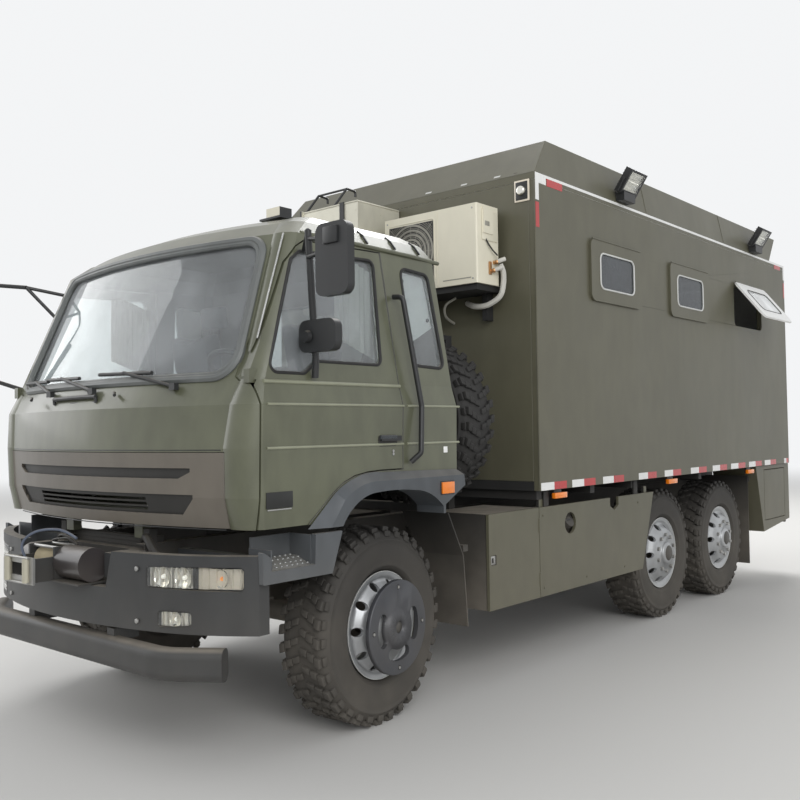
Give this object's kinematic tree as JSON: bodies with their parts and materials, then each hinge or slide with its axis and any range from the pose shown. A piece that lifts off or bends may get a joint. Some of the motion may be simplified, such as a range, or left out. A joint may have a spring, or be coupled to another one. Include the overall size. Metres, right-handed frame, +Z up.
{
  "type": "military field kitchen truck",
  "caption": "Self-propelled military field kitchen: six-wheel truck with a flat-front tilting cab, winch bumper and a box body whose doors, lockers and windows open.",
  "frame": {"origin": "on the ground, at the middle of the truck's overall length and width", "axes": "+X is the truck's left side, -Y is its front, +Z is up"},
  "size_m": [3.16, 7.88, 3.524],
  "materials": {
    "cab_paint": "semi-gloss olive green paint, lightly dusty",
    "box_paint": "satin olive green paint, a little lighter than the cab's",
    "grille_paint": "satin warm grey-brown paint",
    "bumper_paint": "matte charcoal paint, dusty",
    "flare_plastic": "grained dark grey plastic",
    "chassis_paint": "matte black paint with road dust",
    "winch_steel": "satin black paint, worn",
    "rope_fibre": "braided grey rope",
    "lamp_glass": "clear lens over bright reflectors",
    "floodlight_case": "satin black with a clear front",
    "cab_window": "slightly tinted clear glass",
    "tyre_rubber": "matte rubber, dusty brown-grey sidewalls; silver steel rims",
    "flap_rubber": "matte rubber",
    "aircon_case": "aged cream paint",
    "vent_steel": "bare sheet steel",
    "seat_cloth": "woven seat cloth",
    "dash_plastic": "grained grey plastic",
    "kitchen_steel": "brushed stainless steel"
  },
  "bodies": {
    "chassis": {"chassis_frame": "chassis_paint", "engine_block": "chassis_paint", "drive_line": "chassis_paint", "fuel_tank": "chassis_paint", "front_axle": "chassis_paint", "rear_axles": "chassis_paint", "leaf_springs": "chassis_paint", "bumper": "bumper_paint", "underrun_bar": "bumper_paint", "winch": "winch_steel", "winch_rope": "rope_fibre", "front_lamps": "lamp_glass", "cab_steps": "bumper_paint", "box_floor": "chassis_paint", "box_wall_left": "box_paint", "box_wall_right": "box_paint", "box_wall_front": "box_paint", "box_rear_frame": "box_paint", "box_roof": "box_paint", "roof_fairing": "box_paint", "aircon_unit": "aircon_case", "vent_housing": "vent_steel", "floodlights": "floodlight_case", "spare_wheel": "tyre_rubber", "spare_carrier": "chassis_paint", "side_skirts": "box_paint", "rear_lockers": "box_paint", "mud_flaps": "flap_rubber", "rear_bar": "bumper_paint", "kitchen_units": "kitchen_steel"},
    "cab": {"cab_shell": "cab_paint", "cab_grille": "grille_paint", "cab_glass": "cab_window", "seats": "seat_cloth", "dashboard": "dash_plastic", "wipers": "flare_plastic", "cab_flares": "flare_plastic", "cab_trim": "flare_plastic"},
    "cab_door_left": {"cab_door_left": "cab_paint"},
    "cab_door_right": {"cab_door_right": "cab_paint"},
    "knuckle_left": {"knuckle_left": "chassis_paint"},
    "knuckle_right": {"knuckle_right": "chassis_paint"},
    "wheel_front_left": {"wheel_front_left": "tyre_rubber"},
    "wheel_front_right": {"wheel_front_right": "tyre_rubber"},
    "wheel_middle_left": {"wheel_middle_left": "tyre_rubber"},
    "wheel_middle_right": {"wheel_middle_right": "tyre_rubber"},
    "wheel_rear_left": {"wheel_rear_left": "tyre_rubber"},
    "wheel_rear_right": {"wheel_rear_right": "tyre_rubber"},
    "window_left_1": {"window_left_1": "box_paint"},
    "window_left_2": {"window_left_2": "box_paint"},
    "window_left_3": {"window_left_3": "box_paint"},
    "window_right_1": {"window_right_1": "box_paint"},
    "window_right_3": {"window_right_3": "box_paint"},
    "rear_door_left": {"rear_door_left": "box_paint"},
    "rear_door_right": {"rear_door_right": "box_paint"},
    "side_door": {"side_door": "box_paint"},
    "cabinet_door_left": {"cabinet_door_left": "box_paint"},
    "cabinet_door_right": {"cabinet_door_right": "box_paint"},
    "locker_door_left": {"locker_door_left": "box_paint"},
    "locker_door_right": {"locker_door_right": "box_paint"}
  },
  "joints": [
    {"name": "steer_left", "type": "hinge", "parent": "chassis", "child": "knuckle_left", "pos_m": [0.8, -2.5, 0.524], "axis": [0, 0, 1], "range_deg": [-34, 26]},
    {"name": "steer_right", "type": "hinge", "parent": "chassis", "child": "knuckle_right", "pos_m": [-0.8, -2.5, 0.524], "axis": [0, 0, 1], "range_deg": [-34, 26]},
    {"name": "spin_front_left", "type": "hinge", "parent": "knuckle_left", "child": "wheel_front_left", "pos_m": [0.96659, -2.48835, 0.524], "axis": [0.9976, 0.0698, 0], "continuous": true},
    {"name": "spin_front_right", "type": "hinge", "parent": "knuckle_right", "child": "wheel_front_right", "pos_m": [-0.96659, -2.51165, 0.524], "axis": [0.9976, 0.0698, 0], "continuous": true},
    {"name": "spin_middle_left", "type": "hinge", "parent": "chassis", "child": "wheel_middle_left", "pos_m": [0.967, 0.975, 0.524], "axis": [1, 0, 0], "continuous": true},
    {"name": "spin_middle_right", "type": "hinge", "parent": "chassis", "child": "wheel_middle_right", "pos_m": [-0.967, 0.975, 0.524], "axis": [1, 0, 0], "continuous": true},
    {"name": "spin_rear_left", "type": "hinge", "parent": "chassis", "child": "wheel_rear_left", "pos_m": [0.967, 2.225, 0.524], "axis": [1, 0, 0], "continuous": true},
    {"name": "spin_rear_right", "type": "hinge", "parent": "chassis", "child": "wheel_rear_right", "pos_m": [-0.967, 2.225, 0.524], "axis": [1, 0, 0], "continuous": true},
    {"name": "cab_tilt", "type": "hinge", "parent": "chassis", "child": "cab", "pos_m": [0, -3.46, 1.064], "axis": [1, 0, 0], "range_deg": [0, 35]},
    {"name": "cab_door_left_hinge", "type": "hinge", "parent": "cab", "child": "cab_door_left", "pos_m": [1.19, -3.389, 1.564], "axis": [0, 0, -1], "range_deg": [0, 70]},
    {"name": "rear_door_left_hinge", "type": "hinge", "parent": "chassis", "child": "rear_door_left", "pos_m": [1.042, 3.823, 2.164], "axis": [0, 0, -1], "range_deg": [0, 100]},
    {"name": "cabinet_left_hinge", "type": "hinge", "parent": "chassis", "child": "cabinet_door_left", "pos_m": [1.202, -1.063, 0.764], "axis": [0, 0, 1], "range_deg": [0, 100]},
    {"name": "locker_left_hinge", "type": "hinge", "parent": "chassis", "child": "locker_door_left", "pos_m": [1.202, 3.455, 1.108], "axis": [0, -1, 0], "range_deg": [0, 80]},
    {"name": "cab_door_right_hinge", "type": "hinge", "parent": "cab", "child": "cab_door_right", "pos_m": [-1.19, -3.389, 1.564], "axis": [0, 0, 1], "range_deg": [0, 70]},
    {"name": "rear_door_right_hinge", "type": "hinge", "parent": "chassis", "child": "rear_door_right", "pos_m": [-1.042, 3.823, 2.164], "axis": [0, 0, 1], "range_deg": [0, 100]},
    {"name": "cabinet_right_hinge", "type": "hinge", "parent": "chassis", "child": "cabinet_door_right", "pos_m": [-1.202, -1.063, 0.764], "axis": [0, 0, -1], "range_deg": [0, 100]},
    {"name": "locker_right_hinge", "type": "hinge", "parent": "chassis", "child": "locker_door_right", "pos_m": [-1.202, 3.455, 1.108], "axis": [0, 1, 0], "range_deg": [0, 80]},
    {"name": "side_door_hinge", "type": "hinge", "parent": "chassis", "child": "side_door", "pos_m": [-1.238, 0.938, 2.164], "axis": [0, 0, 1], "range_deg": [0, 110]},
    {"name": "window_left_1_hinge", "type": "hinge", "parent": "chassis", "child": "window_left_1", "pos_m": [1.255, 0.005, 2.919], "axis": [0, -1, 0], "range_deg": [0, 50]},
    {"name": "window_left_2_hinge", "type": "hinge", "parent": "chassis", "child": "window_left_2", "pos_m": [1.255, 1.325, 2.919], "axis": [0, -1, 0], "range_deg": [0, 50]},
    {"name": "window_left_3_hinge", "type": "hinge", "parent": "chassis", "child": "window_left_3", "pos_m": [1.255, 2.74, 2.919], "axis": [0, -1, 0], "range_deg": [-38, 12]},
    {"name": "window_right_1_hinge", "type": "hinge", "parent": "chassis", "child": "window_right_1", "pos_m": [-1.255, 0.005, 2.919], "axis": [0, 1, 0], "range_deg": [0, 50]},
    {"name": "window_right_3_hinge", "type": "hinge", "parent": "chassis", "child": "window_right_3", "pos_m": [-1.255, 2.74, 2.919], "axis": [0, 1, 0], "range_deg": [0, 50]}
  ],
  "couplings": [
    {"joint": "steer_right", "follows": "steer_left", "ratio": 1}
  ]
}
